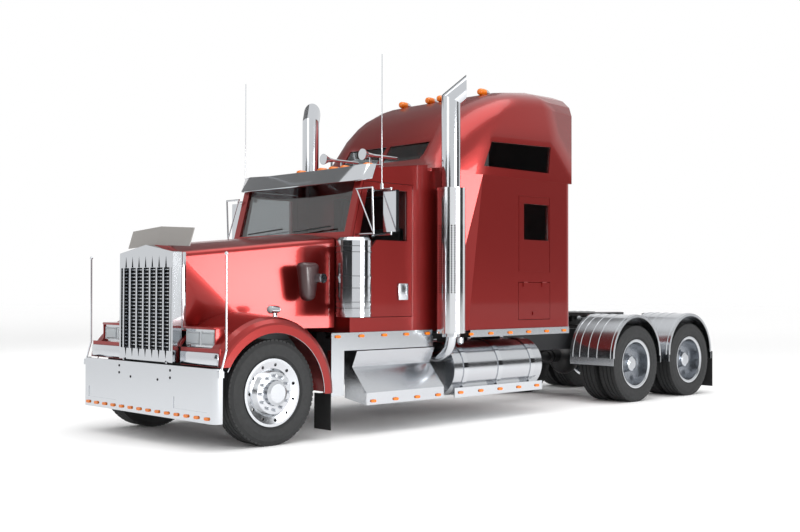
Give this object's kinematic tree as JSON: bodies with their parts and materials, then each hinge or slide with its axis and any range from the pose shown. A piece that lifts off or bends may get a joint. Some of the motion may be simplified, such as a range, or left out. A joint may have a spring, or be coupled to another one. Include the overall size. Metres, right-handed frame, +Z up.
{
  "type": "tractor unit",
  "caption": "Long-nosed road tractor unit with a tall raised-roof sleeper, tilting hood, opening doors, steered front wheels, twin drive wheels and a tilting trailer coupling.",
  "frame": {"origin": "on the ground under the middle of the bounding box", "axes": "+X forward, +Y to the left, +Z up"},
  "size_m": [8.6682, 2.852, 3.94],
  "materials": {
    "red_paint": "gloss clear coat",
    "chrome": "polished plate",
    "polished_aluminium": "polished",
    "black_enamel": "satin",
    "engine_metal": "as cast, painted",
    "radiator_core": "finned, dusty",
    "grey_plastic": "grained",
    "upholstery": "woven",
    "smoked_glass": "tinted",
    "amber_lens": "moulded lens",
    "grey_acrylic": "cast sheet",
    "red_lens": "moulded lens",
    "flap_rubber": "matte",
    "tyre": "matte"
  },
  "bodies": {
    "chassis": {"frame": "black_enamel", "front_bumper": "chrome", "bumper_guides": "chrome", "front_axle": "black_enamel", "springs": "black_enamel", "drive_axles": "black_enamel", "driveshaft": "black_enamel", "engine": "engine_metal", "radiator": "radiator_core", "cab": "red_paint", "dashboard": "grey_plastic", "seat_bases": "black_enamel", "seats": "upholstery", "sun_visor": "chrome", "sleeper": "red_paint", "sleeper_roof": "red_paint", "glazing": "smoked_glass", "mattress": "upholstery", "marker_lamps": "amber_lens", "air_horns": "chrome", "air_cleaners": "chrome", "exhaust_stacks": "chrome", "exhaust_shields": "polished_aluminium", "fuel_tanks": "polished_aluminium", "tank_straps": "chrome", "step_boxes": "polished_aluminium", "skirts": "polished_aluminium", "drive_fenders": "polished_aluminium", "mud_flaps": "flap_rubber", "tail_lamps": "red_lens", "fifth_wheel_base": "black_enamel"},
    "hood": {"hood": "red_paint", "fenders": "red_paint", "grille": "chrome", "headlamps": "chrome", "bug_shield": "grey_acrylic"},
    "door_left": {"door_left": "red_paint", "door_left_glass": "smoked_glass", "mirror_left": "chrome"},
    "door_right": {"door_right": "red_paint", "door_right_glass": "smoked_glass", "mirror_right": "chrome"},
    "luggage_left": {"luggage_door_left": "red_paint"},
    "luggage_right": {"luggage_door_right": "red_paint"},
    "knuckle_left": {"knuckle_left": "black_enamel"},
    "knuckle_right": {"knuckle_right": "black_enamel"},
    "steering_wheel": {"steering_wheel": "grey_plastic"},
    "coupling": {"fifth_wheel_plate": "black_enamel"},
    "wheel_front_left": {"wheel_front_left": "polished_aluminium", "tyre_front_left": "tyre"},
    "wheel_front_right": {"wheel_front_right": "polished_aluminium", "tyre_front_right": "tyre"},
    "wheel_drive_1_left": {"wheel_drive_1_left": "polished_aluminium", "tyres_drive_1_left": "tyre"},
    "wheel_drive_1_right": {"wheel_drive_1_right": "polished_aluminium", "tyres_drive_1_right": "tyre"},
    "wheel_drive_2_left": {"wheel_drive_2_left": "polished_aluminium", "tyres_drive_2_left": "tyre"},
    "wheel_drive_2_right": {"wheel_drive_2_right": "polished_aluminium", "tyres_drive_2_right": "tyre"}
  },
  "joints": [
    {"name": "hood_tilt", "type": "hinge", "parent": "chassis", "child": "hood", "pos_m": [4.30785, 0, 0.783], "axis": [0, 1, 0], "range_deg": [0, 65]},
    {"name": "door_left_swing", "type": "hinge", "parent": "chassis", "child": "door_left", "pos_m": [2.48785, 1.034, 1.6], "axis": [0, 0, -1], "range_deg": [0, 65]},
    {"name": "door_right_swing", "type": "hinge", "parent": "chassis", "child": "door_right", "pos_m": [2.48785, -1.034, 1.6], "axis": [0, 0, 1], "range_deg": [0, 65]},
    {"name": "luggage_left_lift", "type": "hinge", "parent": "chassis", "child": "luggage_left", "pos_m": [-0.25715, 1.2073, 1.575], "axis": [1, 0, 0], "range_deg": [0, 80]},
    {"name": "luggage_right_lift", "type": "hinge", "parent": "chassis", "child": "luggage_right", "pos_m": [-0.25715, -1.2073, 1.575], "axis": [-1, 0, 0], "range_deg": [0, 80]},
    {"name": "steer_left", "type": "hinge", "parent": "chassis", "child": "knuckle_left", "pos_m": [3.61985, 0.85, 0.505], "axis": [0, 0, 1], "range_deg": [-35, 35]},
    {"name": "steer_right", "type": "hinge", "parent": "chassis", "child": "knuckle_right", "pos_m": [3.61985, -0.85, 0.505], "axis": [0, 0, 1], "range_deg": [-35, 35]},
    {"name": "steering_wheel_turn", "type": "hinge", "parent": "chassis", "child": "steering_wheel", "pos_m": [2.04955, 0.5, 1.86], "axis": [-0.8192, 0, 0.5736], "range_deg": [-630, 630]},
    {"name": "coupling_tilt", "type": "hinge", "parent": "chassis", "child": "coupling", "pos_m": [-2.98015, 0, 1.075], "axis": [0, 1, 0], "range_deg": [-12, 12]},
    {"name": "spin_front_left", "type": "hinge", "parent": "knuckle_left", "child": "wheel_front_left", "pos_m": [3.61985, 1.025, 0.505], "axis": [0, 1, 0], "continuous": true},
    {"name": "spin_front_right", "type": "hinge", "parent": "knuckle_right", "child": "wheel_front_right", "pos_m": [3.61985, -1.025, 0.505], "axis": [0, 1, 0], "continuous": true},
    {"name": "spin_drive_1_left", "type": "hinge", "parent": "chassis", "child": "wheel_drive_1_left", "pos_m": [-2.40215, 0.93, 0.505], "axis": [0, 1, 0], "continuous": true},
    {"name": "spin_drive_1_right", "type": "hinge", "parent": "chassis", "child": "wheel_drive_1_right", "pos_m": [-2.40215, -0.93, 0.505], "axis": [0, 1, 0], "continuous": true},
    {"name": "spin_drive_2_left", "type": "hinge", "parent": "chassis", "child": "wheel_drive_2_left", "pos_m": [-3.72215, 0.93, 0.505], "axis": [0, 1, 0], "continuous": true},
    {"name": "spin_drive_2_right", "type": "hinge", "parent": "chassis", "child": "wheel_drive_2_right", "pos_m": [-3.72215, -0.93, 0.505], "axis": [0, 1, 0], "continuous": true}
  ],
  "couplings": [
    {"joint": "steer_right", "follows": "steer_left", "ratio": 1},
    {"joint": "steering_wheel_turn", "follows": "steer_left", "ratio": 18}
  ]
}
